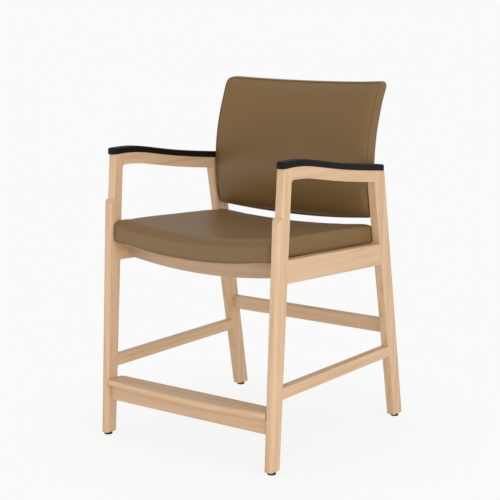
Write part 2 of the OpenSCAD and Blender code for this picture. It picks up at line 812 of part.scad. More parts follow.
module seat_dust_cover() {
    color(dark) difference() {
        intersection() {
            translate([-pan_half, front_rail_setback + cross_rail_thickness + dust_cover_margin,
                seat_level - 2 * seat_dish])
                cube([2 * pan_half, rear_rail_setback - front_rail_setback - cross_rail_thickness
                    - 2 * dust_cover_margin, 4 * seat_dish]);
            pan_band(pan_half, pan_half_depth, -dust_cover_thickness, 0);
        }
        for (side = [-1, 1], rear = [false, true]) block_clearance(side, rear);
    }
}

module block_clearance(side, rear) {
    rail_y = rear ? rear_rail_setback : front_rail_setback + cross_rail_thickness;
    way = rear ? -1 : 1;
    reach = block_leg + dust_cover_margin;
    on_side(side) translate([inner, rail_y, seat_level - 2 * seat_dish]) linear_extrude(4 * seat_dish)
        polygon([[overrun, -way * overrun], [-reach, -way * overrun], [overrun, way * reach]]);
}

// Back

function back_line(z) = back_setback + (z > back_waist
    ? back_lean * pow((z - back_waist) / (back_top - back_waist), 2)
    : back_kick * pow((back_waist - z) / (back_waist - back_bottom), 2));

// A point of the back from its place in the front view and its level from the front face
function back_place(p, level, crown) = let (
    hollow = 1 - pow(p[0] / back_half, 2),
    top = back_top - back_top_dip * hollow,
    bottom = back_bottom - back_bottom_dip * hollow,
    z = top - (top - bottom) * (p[1] / back_half_height + 1) / 2,
    bulge = crown * (1 - level / back_thickness) * hollow * (1 - pow(p[1] / back_half_height, 2)))
    [p[0], back_line(z) + back_hollow * hollow + level - bulge, z];

// A bent board of the back, between two levels
module back_band(half_x, half_y, low, high) {
    across = 10;
    along = 10;
    xs = [for (i = [0:across]) half_x * (2 * i / across - 1)];
    skin([for (k = [0:along]) let (y = half_y * (1 - 2 * k / along)) concat(
        [for (x = xs) back_place([x, y], low, 0)],
        [for (i = [across:-1:0]) back_place([xs[i], y], high, 0)])]);
}

module back_panel() {
    color(plywood) difference() {
        back_band(panel_half, panel_half_height, panel_front_level, panel_back_level);
        both_sides() back_nut_sites() nut_bore();
    }
}

module back_cushion() {
    front_edge = 18;
    rear_edge = 9;
    draw = 2;
    corner = 14;
    rings = cushion_rings(back_half, back_half_height, corner,
        cushion_levels(back_thickness, front_edge, rear_edge, draw, 3), [0.25, 0.55, 0.8], [0.6],
        function(p, level) back_place(p, level, back_crown));
    color(upholstery) difference() {
        skin(rings, true);
        back_band(panel_half, panel_half_height, panel_front_level, panel_back_level);
        back_band(cover_half, cover_half_height, panel_back_level, back_thickness + back_lean);
    }
}

module back_outer_cover() {
    color(upholstery) difference() {
        back_band(cover_half, cover_half_height, panel_back_level, back_thickness);
        back_band(panel_half, panel_half_height, panel_front_level, panel_back_level);
        both_sides() back_bolt_sites() bolt_bore(back_bolt_length);
    }
}

// Angle that holds the back: one arm on the rear leg's inner face, one behind the back
bracket_x = back_half - bracket_bolt_side;
bracket_turn = atan(2 * back_hollow * bracket_x / pow(back_half, 2));
bracket_bend = max(back_kick / pow(back_waist - back_bottom, 2), back_lean / pow(back_top - back_waist, 2));
bracket_reach = bracket_height / 2;
bracket_slope = (back_line(bracket_centre + bracket_reach) - back_line(bracket_centre - bracket_reach))
    / bracket_height;
bracket_sag = bracket_bend * pow(bracket_reach, 2);
bracket_y = back_line(bracket_centre) + back_thickness + back_hollow * (1 - pow(bracket_x / back_half, 2))
    + bracket_sag + contact_clearance;

// The bracket's own frame: origin on the back's rear side at the bolts, z along the back's slope
module bracket_frame() {
    translate([bracket_x, bracket_y, bracket_centre]) rotate([-atan(bracket_slope), 0, 0]) children();
}

module back_bracket(side) {
    wing = inner - bracket_x;
    bend_y = -wing * tan(bracket_turn);
    grip = bracket_y - face_at(rear_front_face, bracket_centre) - bracket_front_inset;
    color(steel) on_side(side) difference() {
        bracket_frame() translate([0, 0, -bracket_height / 2]) linear_extrude(bracket_height) union() {
            translate([wing - bracket_steel, -grip])
                square([bracket_steel, grip + bend_y + bracket_steel / 2]);
            rotate(-bracket_turn) translate([-bracket_arm / 2, 0])
                square([bracket_arm / 2 + (wing - bracket_radius) / cos(bracket_turn), bracket_steel]);
        }
        back_bolt_sites() bolt_bore(back_bolt_length);
        bracket_screw_sites() screw_hole(bracket_screw_length, overrun);
    }
}

// Glides and inserts

module glide_place(side, y) {
    on_side(side) translate([member_middle, y, 0]) children();
}

module glide(side, y) {
    radius = glide_diameter / 2;
    color(dark) glide_place(side, y) {
        rotate_extrude() difference() {
            square([radius, glide_height]);
            translate([radius, 0]) rotate([0, 0, 90]) edge_section(glide_edge);
        }
        translate([0, 0, glide_height - overrun]) cylinder(d = glide_stem, h = glide_stem_length + overrun);
    }
}

module insert(side, y) {
    color(steel) glide_place(side, y) difference() {
        union() {
            translate([0, 0, leg_bottom - insert_flange])
                cylinder(r = insert_flange_radius, h = insert_flange);
            translate([0, 0, leg_bottom - insert_flange])
                cylinder(r = insert_radius, h = insert_length + insert_flange);
        }
        translate([0, 0, leg_bottom - insert_flange - overrun])
            cylinder(r = insert_bore_radius, h = insert_length + insert_flange + 2 * overrun);
    }
}

// Dowels

module dowel() {
    translate([0, 0, -dowel_length / 2]) rotate_extrude() polygon([[0, 0],
        [dowel_diameter / 2 - dowel_edge, 0], [dowel_diameter / 2, dowel_edge],
        [dowel_diameter / 2, dowel_length - dowel_edge], [dowel_diameter / 2 - dowel_edge, dowel_length],
        [0, dowel_length]]);
}

module dowel_bore() {
    length = dowel_length + 2 * glue_clearance + dowel_edge;
    translate([0, 0, -length / 2]) cylinder(d = dowel_diameter + 2 * glue_clearance, h = length);
}

// Two places that lie above each other, with the axis along y
module upright_pair(y, z, spacing) {
    for (k = [-half_share, half_share]) translate([member_middle, y, z + k * spacing])
        rotate([90, 0, 0]) children();
}

// Two places that lie above each other, with the axis along x at a side frame's inner face
module cross_pair(y, z, spacing) {
    for (k = [-half_share, half_share]) translate([inner, y, z + k * spacing])
        rotate([0, 90, 0]) children();
}

module arm_front_sites() {
    upright_pair(arm_front_y, arm_top(arm_front_y) - arm_rail_height / 2, arm_dowel_spacing) children();
}

module arm_rear_sites() {
    upright_pair(arm_rear_y, arm_top(arm_rear_y) - arm_rail_height / 2, arm_dowel_spacing) children();
}

seat_rail_upright = seat_rail_height / cos(seat_angle);
seat_rail_front_z = seat_rail_top - seat_rail_height / 2;
seat_rail_rear_z = seat_rail_front_z - tan(seat_angle)
    * (face_at(rear_front_face, seat_rail_front_z) - face_at(front_back_face, seat_rail_top));

seat_rail_rear_top = seat_rail_rear_z + seat_rail_upright / 2;

module seat_front_sites() {
    upright_pair(face_at(front_back_face, seat_rail_front_z), seat_rail_front_z, seat_dowel_spacing)
        children();
}

module seat_rear_sites() {
    upright_pair(face_at(rear_front_face, seat_rail_rear_z), seat_rail_rear_z, seat_dowel_spacing) children();
}

side_stretcher_z = side_stretcher_level + side_stretcher_height / 2;

module stretcher_front_sites() {
    upright_pair(face_at(front_back_face, side_stretcher_z), side_stretcher_z, stretcher_dowel_spacing)
        children();
}

module stretcher_rear_sites() {
    upright_pair(face_at(rear_front_face, side_stretcher_z), side_stretcher_z, stretcher_dowel_spacing)
        children();
}

module cross_rail_sites() {
    front_y = front_rail_setback + cross_rail_thickness / 2;
    rear_y = rear_rail_setback + cross_rail_thickness / 2;
    cross_pair(front_y, seat_under(front_y) + half_share * dowel_diameter, cross_dowel_spacing) children();
    cross_pair(rear_y, seat_under(rear_y) + half_share * dowel_diameter, cross_dowel_spacing) children();
}

module rear_stretcher_sites() {
    cross_pair(rear_stretcher_middle, rear_stretcher_level + rear_stretcher_height / 2, rear_dowel_spacing)
        children();
}

module footrest_sites() {
    cross_pair(footrest_rail_thickness / 2, footrest_level + footrest_rail_height / 2, footrest_dowel_spacing)
        children();
}

// Screws and bolts point along +z, with the underside of the head at the origin

function screw_outline(length, gap) = [
    [0, -screw_head_height - gap], [screw_head / 2 + gap, -screw_head_height - gap],
    [screw_head / 2 + gap, -screw_head_height], [screw_diameter / 2 + gap, 0],
    [screw_diameter / 2 + gap, length - screw_diameter + gap], [0, length + gap]];

module screw(length) {
    rotate_extrude() polygon(screw_outline(length, 0));
}

// A countersunk hole for a screw, with a wider way in of a given depth
module screw_hole(length, sink) {
    rotate_extrude() polygon(screw_outline(length, glue_clearance));
    if (sink > 0) {
        translate([0, 0, -screw_head_height - sink])
            cylinder(d = screw_head + 2 * screw_head_clearance, h = sink);
    }
}

cap_screw_length = arm_rail_height - cap_screw_sink - screw_head_height + cap_screw_bite;
tread_screw_length = footrest_rail_height - tread_screw_sink - screw_head_height + tread_screw_bite;

module cap_screw_sites() {
    for (share = cap_screw_shares) {
        y = cap_front + share * arm_span;
        translate([member_middle, y, arm_top(y) - arm_rail_height + cap_screw_sink + screw_head_height])
            children();
    }
}

module tread_screw_sites() {
    for (share = tread_screw_shares)
        translate([share * tread_half, footrest_rail_thickness / 2,
            footrest_level + tread_screw_sink + screw_head_height]) children();
}

// Places in a corner block, for one side: [rail face, way into the block]
block_corners = [[front_rail_setback + cross_rail_thickness, 1], [rear_rail_setback, -1]];

module block_side_screw_sites() {
    for (corner = block_corners)
        translate([inner - block_screw_grip, corner[0] + corner[1] * block_screw_offset,
            seat_under(corner[0]) + block_screw_rise]) rotate([0, 90, 0]) children();
}

module block_rail_screw_sites() {
    for (corner = block_corners)
        translate([inner - block_screw_offset, corner[0] + corner[1] * block_screw_grip,
            seat_under(corner[0]) + block_screw_rise - block_screw_gap])
            rotate([corner[1] * 90, 0, 0]) children();
}

module seat_bolt_sites() {
    for (corner = block_corners)
        translate([inner - block_bolt_side, corner[0] + corner[1] * block_bolt_rail,
            seat_under(corner[0]) - block_height - washer_thickness]) children();
}

module seat_nut_sites() {
    x = inner - block_bolt_side;
    for (corner = block_corners) {
        y = corner[0] + corner[1] * block_bolt_rail;
        translate([x, y, seat_under(y) + seat_rise(x) + pan_thickness - nut_sink]) children();
    }
}

seat_bolt_length = washer_thickness + block_height + seat_rise(inner - block_bolt_side) + pan_thickness
    - nut_sink - bolt_end_clearance;
back_nut_depth = bracket_steel + contact_clearance + bracket_sag + outer_cover_thickness + panel_thickness
    - nut_sink;
back_bolt_length = back_nut_depth + washer_thickness - bolt_end_clearance;

// Bolts of a bracket, from behind the washers towards the front
module back_bolt_sites() {
    bracket_frame() for (k = [-half_share, half_share]) translate([0, 0, k * bracket_bolt_spacing])
        rotate([0, 0, -bracket_turn]) translate([0, bracket_steel + washer_thickness, 0])
        rotate([90, 0, 0]) children();
}

module back_nut_sites() {
    back_bolt_sites() translate([0, 0, washer_thickness + back_nut_depth]) children();
}

module bracket_screw_sites() {
    bracket_frame() for (k = [-half_share, half_share])
        translate([inner - bracket_x - bracket_steel + screw_head_height, -bracket_screw_setback,
            k * bracket_screw_spacing]) rotate([0, 90, 0]) children();
}

// A hexagon bolt with its washer
module bolt(length) {
    translate([0, 0, -bolt_head_height]) cylinder(d = bolt_head, h = bolt_head_height, $fn = 6);
    translate([0, 0, -overrun / 2]) cylinder(d = bolt_diameter, h = length + overrun / 2);
    cylinder(r = washer_radius, h = washer_thickness);
}

module bolt_bore(length) {
    cylinder(d = bolt_diameter + 2 * glue_clearance, h = length + overrun);
}

module tee_nut() {
    difference() {
        union() {
            cylinder(r = nut_flange_radius, h = nut_flange);
            translate([0, 0, -nut_barrel]) cylinder(r = nut_barrel_radius, h = nut_barrel + nut_flange);
        }
        translate([0, 0, -nut_barrel - overrun])
            cylinder(d = bolt_diameter + 2 * bolt_pitch_clearance, h = nut_barrel + nut_flange + 2 * overrun);
    }
}

// The hole for a tee nut: its barrel's bore right through, and a sinking for its flange
module nut_bore() {
    translate([0, 0, -pan_thickness - panel_thickness]) cylinder(r = nut_barrel_radius + glue_clearance,
        h = 2 * (pan_thickness + panel_thickness));
    cylinder(r = nut_flange_radius + glue_clearance, h = pan_thickness);
}

// Groups of like fasteners

module arm_rail_dowels() {
    color(plywood) both_sides() {
        arm_front_sites() dowel();
        arm_rear_sites() dowel();
    }
}

module seat_rail_dowels() {
    color(plywood) both_sides() {
        seat_front_sites() dowel();
        seat_rear_sites() dowel();
    }
}

module side_stretcher_dowels() {
    color(plywood) both_sides() {
        stretcher_front_sites() dowel();
        stretcher_rear_sites() dowel();
    }
}

module cross_rail_dowels() {
    color(plywood) both_sides() cross_rail_sites() dowel();
}

module rear_stretcher_dowels() {
    color(plywood) both_sides() rear_stretcher_sites() dowel();
}

module footrest_dowels() {
    color(plywood) both_sides() footrest_sites() dowel();
}

module arm_cap_screws() {
    color(steel) both_sides() cap_screw_sites() screw(cap_screw_length);
}

module tread_screws() {
    color(steel) tread_screw_sites() screw(tread_screw_length);
}

module corner_block_screws() {
    color(steel) both_sides() {
        block_side_screw_sites() screw(block_screw_length);
        block_rail_screw_sites() screw(block_screw_length);
    }
}

module seat_bolts() {
    color(steel) both_sides() seat_bolt_sites() bolt(seat_bolt_length);
}

module seat_tee_nuts() {
    color(steel) both_sides() seat_nut_sites() tee_nut();
}

module back_bolts() {
    color(steel) both_sides() back_bolt_sites() bolt(back_bolt_length);
}

module back_tee_nuts() {
    color(steel) both_sides() back_nut_sites() tee_nut();
}

module bracket_screws() {
    color(steel) both_sides() bracket_screw_sites() screw(bracket_screw_length);
}

centred() front_leg(-1);  // left_front_leg
centred() front_leg(1);  // right_front_leg
centred() rear_leg(-1);  // left_rear_leg
centred() rear_leg(1);  // right_rear_leg
centred() arm_rail(-1);  // left_arm_rail
centred() arm_rail(1);  // right_arm_rail
centred() seat_rail(-1);  // left_seat_rail
centred() seat_rail(1);  // right_seat_rail
centred() side_stretcher(-1);  // left_side_stretcher
centred() side_stretcher(1);  // right_side_stretcher
centred() front_seat_rail();
centred() rear_seat_rail();
centred() rear_stretcher();
centred() footrest_rail();
centred() footrest_tread();
centred() corner_block(-1, false);  // left_front_corner_block
centred() corner_block(1, false);  // right_front_corner_block
centred() corner_block(-1, true);  // left_rear_corner_block
centred() corner_block(1, true);  // right_rear_corner_block
centred() arm_cap(-1);  // left_arm_cap
centred() arm_cap(1);  // right_arm_cap
centred() seat_pan();
centred() seat_cushion();
centred() seat_dust_cover();
centred() back_panel();
centred() back_cushion();
centred() back_outer_cover();
centred() back_bracket(-1);  // left_back_bracket
centred() back_bracket(1);  // right_back_bracket
centred() glide(-1, 0);  // left_front_glide
centred() glide(1, 0);  // right_front_glide
centred() glide(-1, rear_glide_y);  // left_rear_glide
centred() glide(1, rear_glide_y);  // right_rear_glide
centred() insert(-1, 0);  // left_front_insert
centred() insert(1, 0);  // right_front_insert
centred() insert(-1, rear_glide_y);  // left_rear_insert
centred() insert(1, rear_glide_y);  // right_rear_insert
centred() arm_rail_dowels();
centred() seat_rail_dowels();
centred() side_stretcher_dowels();
centred() cross_rail_dowels();
centred() rear_stretcher_dowels();
centred() footrest_dowels();
centred() arm_cap_screws();
centred() tread_screws();
centred() corner_block_screws();
centred() seat_bolts();
centred() seat_tee_nuts();
centred() back_bolts();
centred() back_tee_nuts();
centred() bracket_screws();
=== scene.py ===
# %% [markdown]
# # A hip-height patient chair
# The construction comes from the CAD frame: legs, rails, caps, glides and fasteners stand where they are.
# This lesson gives them their finish. The wood gets a lacquered maple grain, the seat and the back are
# filled, bent and sewn as an upholsterer does it, and the arm caps become satin rubber.

# %% Tools and the frame
import math

import bmesh
import bpy
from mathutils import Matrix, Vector
from mathutils.bvhtree import BVHTree


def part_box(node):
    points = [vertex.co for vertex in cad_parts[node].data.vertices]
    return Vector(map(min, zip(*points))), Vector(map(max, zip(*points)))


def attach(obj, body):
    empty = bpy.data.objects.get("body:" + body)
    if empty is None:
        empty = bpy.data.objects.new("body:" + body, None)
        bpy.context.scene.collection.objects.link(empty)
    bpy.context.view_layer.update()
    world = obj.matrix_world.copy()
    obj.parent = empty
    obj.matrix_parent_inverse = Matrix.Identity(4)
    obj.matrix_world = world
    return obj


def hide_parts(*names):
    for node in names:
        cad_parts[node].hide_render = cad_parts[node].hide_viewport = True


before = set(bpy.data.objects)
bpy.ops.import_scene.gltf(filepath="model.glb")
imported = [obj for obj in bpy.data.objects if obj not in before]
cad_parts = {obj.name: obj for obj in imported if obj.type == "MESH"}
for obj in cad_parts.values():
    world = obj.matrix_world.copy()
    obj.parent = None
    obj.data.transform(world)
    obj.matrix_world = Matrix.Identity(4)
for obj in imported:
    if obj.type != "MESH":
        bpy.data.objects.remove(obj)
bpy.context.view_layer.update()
MM = 0.001

# %% [markdown]
# ## Camera
# The camera was solved from the straight edges of the chair: it stands low on the sitter's left, about
# three and a half metres away, and looks slightly down. The focal length is given in pixels of the
# picture, so it is turned into millimetres on a 36 mm sensor. The Standard view transform shows each
# colour about as it is written.

# %% Camera
EYE = Vector((2.0981, -2.8757, 1.1456))
VIEW_AZIMUTH = 36.262
VIEW_ELEVATION = 10.351
FOCAL_PIXELS = 1328.1
IMAGE_PIXELS = 500
SENSOR_MM = 36.0
FARTHEST_SEEN = 60

camera_data = bpy.data.cameras.new("photo_camera")
camera_data.sensor_fit = "HORIZONTAL"
camera_data.sensor_width = SENSOR_MM
camera_data.lens = FOCAL_PIXELS / IMAGE_PIXELS * SENSOR_MM
camera_data.clip_end = FARTHEST_SEEN
camera = bpy.data.objects.new("photo_camera", camera_data)
camera.location = EYE
camera.rotation_euler = (math.radians(90 - VIEW_ELEVATION), 0, math.radians(VIEW_AZIMUTH))
bpy.context.scene.collection.objects.link(camera)
bpy.context.scene.camera = camera
bpy.context.scene.view_settings.view_transform = "Standard"
print("lens", round(camera_data.lens, 1), "mm")

# %% [markdown]
# ## Shader maths
# A material is easier to read as an expression than as a list of links. This small class wraps a socket,
# so that `1 - mask` or `grain * 0.3` adds the Math node that it needs.

# %% A value that adds its own Math nodes


class Wave:
    """A value socket that can be added, subtracted and multiplied like a number."""

    def __init__(self, finish, socket):
        self.finish = finish
        self.socket = socket

    def math(self, operation, other, first=None):
        values = {0: self if first is None else first, 1: other}
        return self.finish.node("ShaderNodeMath", {"operation": operation}, values)

    def __add__(self, other):
        return self.math("ADD", other)

    __radd__ = __add__

    def __mul__(self, other):
        return self.math("MULTIPLY", other)

    __rmul__ = __mul__

    def __sub__(self, other):
        return self.math("SUBTRACT", other)

    def __rsub__(self, other):
        return self.math("SUBTRACT", self, first=other)

    def clamped(self):
        return self.math("MINIMUM", 1.0).math("MAXIMUM", 0.0)


# %% [markdown]
# ## One class for every finish
# Each finish is a Principled shader with patterns in front of it. The class below makes the material and
# offers the few nodes that all finishes share: noise, a colour mix, a colour ramp and a bump. Patterns
# read Object coordinates, which are metres here, so a scale of 640 means 640 grains on a metre.

# %% A material with short calls for its nodes


class Finish:
    """A material with one Principled shader."""

    def __init__(self, name):
        self.material = bpy.data.materials.new(name)
        self.material.use_nodes = True
        self.tree = self.material.node_tree
        self.shader = self.tree.nodes["Principled BSDF"]

    def node(self, kind, settings=None, inputs=None, output=0):
        made = self.tree.nodes.new(kind)
        for key, value in (settings or {}).items():
            if key == "stops":
                self.fill_ramp(made.color_ramp.elements, value)
            else:
                setattr(made, key, value)
        for key, value in (inputs or {}).items():
            self.put(made.inputs[key], value)
        return Wave(self, made.outputs[output])

    def fill_ramp(self, elements, stops):
        for _ in stops[2:]:
            elements.new(0.5)
        for element, (position, colour) in zip(elements, stops):
            element.position = position
            element.color = colour

    def put(self, socket, value):
        if isinstance(value, Wave):
            self.tree.links.new(value.socket, socket)
        else:
            socket.default_value = value

    def place(self, scale=(1, 1, 1), turn=(0, 0, 0)):
        here = self.node("ShaderNodeTexCoord", output=3)
        return self.node("ShaderNodeMapping", {}, {"Vector": here, "Scale": scale, "Rotation": turn})

    def noise(self, vector, scale, detail=2.0, roughness=0.5, distortion=0.0):
        return self.node("ShaderNodeTexNoise", {}, {"Vector": vector, "Scale": scale, "Detail": detail,
                                                    "Roughness": roughness, "Distortion": distortion})

    def mixed(self, factor, first, second):
        return self.node("ShaderNodeMix", {"data_type": "RGBA"}, {0: factor, 6: first, 7: second}, output=2)

    def ramp(self, factor, stops):
        return self.node("ShaderNodeValToRGB", {"stops": stops}, {"Fac": factor})

    def bumped(self, height, strength, distance):
        bump = self.node("ShaderNodeBump", {}, {"Height": height, "Strength": strength, "Distance": distance})
        self.put(self.shader.inputs["Normal"], bump)

    def set(self, **inputs):
        for key, value in inputs.items():
            self.put(self.shader.inputs[key.replace("_", " ").title().replace("Ior", "IOR")], value)
        return self.material


# %% [markdown]
# ## Light maple, lacquered
# Maple has a quiet grain: long faint streaks along each member, short dark flecks, and a slow change of
# tone from one board to the next. The streaks are noise stretched along the member, so there are three
# versions of the finish, for members that run along X, Y and Z, and a darker one for the front seat rail
# with painted shade: that rail sits in shade under the front of the seat, and the shade is painted into
# its colour. A thin clear coat gives the satin sheen.

# %% Colours and the wood finish
MAPLE_STOPS = ((0.26, (209, 168, 128)), (0.46, (222, 186, 148)), (0.72, (230, 197, 162)))
MAPLE_BOARD = (215, 172, 128)
MAPLE_FLECK = (190, 144, 103)
GRAIN_ALONG = 3.0
GRAIN_ACROSS = 110.0
PORE_FINENESS = 3.6
BOARD_ALONG = 2.0
BOARD_ACROSS = 9.0
RING_TURN = (0.06, 0.05, 0.07)
# The front seat rail's colours are darkened by this factor, as painted shade for the shade under the front of
# the seat.
PAINTED_SHADE_TONE = 0.89


def linear(red, green, blue):
    """A colour as a picture holds it, 0 to 255, as Blender's linear values."""
    def one(value):
        value = value / 255
        return value / 12.92 if value <= 0.04045 else ((value + 0.055) / 1.055) ** 2.4
    return (one(red), one(green), one(blue), 1)


def stretched(axis_along, along, across):
    return tuple(along if axis == axis_along else across for axis in "XYZ")


# tone scales the colours; below 1 it paints shade into the wood, as for the front seat rail.
def maple(name, along, tone=1.0):
    def toned(colour):
        return linear(*(value * tone for value in colour))

    wood = Finish(name)
    scale = stretched(along, GRAIN_ALONG, GRAIN_ACROSS)
    fine = tuple(value * PORE_FINENESS for value in scale)
    slow = stretched(along, BOARD_ALONG, BOARD_ACROSS)
    streaks = wood.noise(wood.place(scale), 1.0, detail=4.0, roughness=0.6, distortion=0.2)
    pores = wood.noise(wood.place(fine), 1.0, detail=3.0, roughness=0.7)
    boards = wood.noise(wood.place(slow), 1.0, detail=1.0)
    rings = wood.node("ShaderNodeTexWave", {"wave_type": "RINGS", "rings_direction": along},
                      {"Vector": wood.place(slow, RING_TURN), "Scale": 1.6, "Distortion": 4.0,
                       "Detail": 2.0, "Detail Scale": 1.5}, output=1)
    stops = [(position, toned(colour)) for position, colour in MAPLE_STOPS]
    base = wood.ramp(streaks * 0.88 + rings * 0.12, stops)
    flecked = wood.mixed((pores - 0.60).math("MAXIMUM", 0.0) * 1.5, base, linear(*MAPLE_FLECK))
    colour = wood.mixed((boards - 0.35).clamped() * 0.35, flecked, toned(MAPLE_BOARD))
    wood.bumped(streaks * 0.5 + pores * 0.5, 0.12, 0.0006)
    return wood.set(base_color=colour, roughness=pores * 0.14 + 0.36, coat_weight=0.22, coat_roughness=0.3,
                    specular_ior_level=0.4)


WOOD = {axis: maple(f"lacquered_maple_{axis.lower()}", axis) for axis in "XYZ"}
# The front seat rail's maple, darkened with painted shade for the shade that falls under the seat.
WOOD["painted shade X"] = maple("lacquered_maple_painted_shade_x", "X", PAINTED_SHADE_TONE)
print("wood finishes", len(WOOD))

# %% [markdown]
# ## Coated upholstery
# The cover is a smooth healthcare vinyl, olive brown, with a leather-like pebble too fine to see from a
# step away. It could be left plain, but then the highlight would be one clean patch, as on paint. A fine
# cell pattern and creases under a bump break the highlight up, and a slow cloud varies the tone.

# %% Vinyl
PEBBLE_SCALE = 640.0
CREASE_SCALE = 340.0
CLOUD_SCALE = 5.0
WORN_VINYL = linear(140, 113, 73)


def vinyl(name, colour, shade):
    cover = Finish(name)
    at = cover.place()
    pebble = cover.node("ShaderNodeTexVoronoi", {"feature": "SMOOTH_F1"},
                        {"Vector": at, "Scale": PEBBLE_SCALE, "Smoothness": 0.7})
    crease = cover.noise(at, CREASE_SCALE, detail=3.0)
    cloud = cover.noise(at, CLOUD_SCALE, detail=2.0)
    tint = cover.mixed((cloud - 0.3).clamped() * 0.5, colour, shade)
    worn = cover.mixed((crease - 0.45).clamped() * 0.30, tint, WORN_VINYL)
    cover.bumped(pebble * 0.6 + crease * 0.4, 0.4, 0.0007)
    return cover.set(base_color=worn, roughness=crease * 0.16 + 0.38, specular_ior_level=0.34,
                     coat_weight=0.1, coat_roughness=0.26)


VINYL = vinyl("olive_brown_vinyl", linear(129, 100, 60), linear(119, 92, 54))
print("cover finish", VINYL.name)

# %% [markdown]
# ## Rubber and plastic
# The arm caps are moulded in a satin black that is not quite smooth, and the glides in a dark brown
# plastic. Both are one matt finish with a grain of a fraction of a millimetre.

# %% Arm rubber and glide plastic
MOULD_GRAIN = 1500.0
HANDLED = linear(28, 27, 26)


def rubber(name, colour):
    cap = Finish(name)
    at = cap.place()
    grain = cap.noise(at, MOULD_GRAIN, detail=2.0)
    cloud = cap.noise(at, 30.0, detail=2.0)
    cap.bumped(grain, 0.16, 0.0003)
    tone = cap.mixed((cloud - 0.4).clamped() * 0.3, colour, HANDLED)
    return cap.set(base_color=tone, roughness=grain * 0.12 + 0.42, specular_ior_level=0.15)


RUBBER = rubber("satin_black_rubber", linear(17, 16, 15))
GLIDE = rubber("dark_glide_plastic", linear(60, 48, 40))
print("moulded finishes", RUBBER.name, GLIDE.name)

# %% [markdown]
# ## Finishes of the hidden pieces
# Bent plywood shows its layers, dowels are plain beech, fasteners and brackets are zinc plated with a
# faint spangle, and the dust cover under the seat is black felted cloth.

# %% Plywood, beech, zinc and dust cloth
LAYERS_PER_METRE = 240.0
SPANGLE_SCALE = 260.0


def layered(name, colour, dark):
    board = Finish(name)
    grain = board.noise(board.place((3.0, 3.0, LAYERS_PER_METRE)), 1.0, detail=3.0)
    speck = board.noise(board.place((60.0, 6.0, 60.0)), 1.0, detail=3.0)
    tone = board.mixed((grain * 0.7 + speck * 0.3).clamped(), colour, dark)
    board.bumped(grain, 0.2, 0.0004)
    return board.set(base_color=tone, roughness=speck * 0.2 + 0.5)


def plated(name, colour, roughness):
    metal = Finish(name)
    spangle = metal.node("ShaderNodeTexVoronoi", {}, {"Vector": metal.place(), "Scale": SPANGLE_SCALE})
    haze = metal.noise(metal.place(), 90.0, detail=3.0)
    tone = metal.mixed(spangle * 0.5, colour, linear(150, 152, 158))
    return metal.set(base_color=tone, metallic=1.0, roughness=haze * 0.2 + roughness)


def felted(name, colour):
    cloth = Finish(name)
    fibres = cloth.noise(cloth.place((700.0, 420.0, 700.0)), 1.0, detail=4.0, distortion=0.6)
    cloth.bumped(fibres, 0.4, 0.0006)
    tone = cloth.mixed(fibres * 0.4, colour, linear(64, 62, 60))
    return cloth.set(base_color=tone, roughness=fibres * 0.1 + 0.85)


PLYWOOD = layered("bent_plywood", linear(208, 178, 138), linear(176, 142, 102))
BEECH = layered("dowel_beech", linear(214, 186, 148), linear(190, 158, 118))
ZINC = plated("zinc_plate", linear(196, 198, 204), 0.28)
FELT = felted("dust_cloth", linear(34, 33, 33))
print("finishes in all", len(bpy.data.materials))

# %% [markdown]
# ## Wooden members
# The CAD members have their real outlines, and most of them have their round-overs too. Only the arm
# rails and the front and rear seat rails still need theirs, where a joiner runs a cutter along the edges
# that a hand can reach. Each member is copied, its loose triangles are merged into clean faces, and the
# shading is made smooth over a round-over and sharp over a fold. The solid could be shown as it is, but
# then every round-over would look faceted.

# %% Copies of the CAD pieces
WELD = 0.002 * MM
FLAT = math.radians(0.6)


def new_piece(name, mesh, finish, nodes):
    piece = bpy.data.objects.new(name, mesh)
    bpy.context.scene.collection.objects.link(piece)
    mesh.materials.clear()
    mesh.materials.append(finish)
    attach(piece, "frame")
    if nodes:
        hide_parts(*nodes)
    return piece


def welded_copy(node):
    """The node's triangles, joined at their corners."""
    bm = bmesh.new()
    bm.from_mesh(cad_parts[node].data)
    bmesh.ops.remove_doubles(bm, verts=bm.verts, dist=WELD)
    return bm


def shade(bm, fold):
    """Round-overs are shaded smooth, and folds of more than so many degrees stay sharp."""
    for face in bm.faces:
        face.smooth = True
    for edge in bm.edges:
        edge.smooth = not (len(edge.link_faces) == 2 and edge.calc_face_angle(0) > math.radians(fold))


def finished(bm, name, finish, node):
    """A piece from the mesh. Large flat faces rule its shading, so a round-over doesn't tint them."""
    mesh = bpy.data.meshes.new(name)
    bm.to_mesh(mesh)
    bm.free()
    piece = new_piece(name, mesh, finish, [node])
    piece.modifiers.new("even_shading", "WEIGHTED_NORMAL").keep_sharp = True
    return piece


# %% [markdown]
# ## Round-overs
# A bevel with three segments follows the cutter. It takes only the edges that a test picks out: the
# curves along both faces of an arm rail, and the long edges of the front and rear seat rails.

# %% Wooden members
FREE_EDGE = 1.6 * MM
ARM_EDGE = 3.0 * MM
LEAST_RUN = 4 * MM
SHARP = math.radians(24)
WOOD_FOLD = 32


def bevel(bm, edges, width, segments=3):
    if edges:
        bmesh.ops.bevel(bm, geom=edges, offset=width, offset_type="OFFSET", segments=segments,
                        profile=0.5, affect="EDGES", clamp_overlap=True, material=-1)


def wooden(node, axis, width=0, free=None):
    """A member's finished copy. free(edge) says which of its sharp edges are rounded."""
    bm = welded_copy(node)
    bmesh.ops.dissolve_limit(bm, angle_limit=FLAT, verts=bm.verts, edges=bm.edges, delimit={"NORMAL"})
    if free:
        bevel(bm, [edge for edge in bm.edges if len(edge.link_faces) == 2
                   and edge.calc_face_angle(0) > SHARP and free(edge)], width)
    bm.normal_update()
    shade(bm, WOOD_FOLD)
    return finished(bm, node + "_wood", WOOD[axis], node)


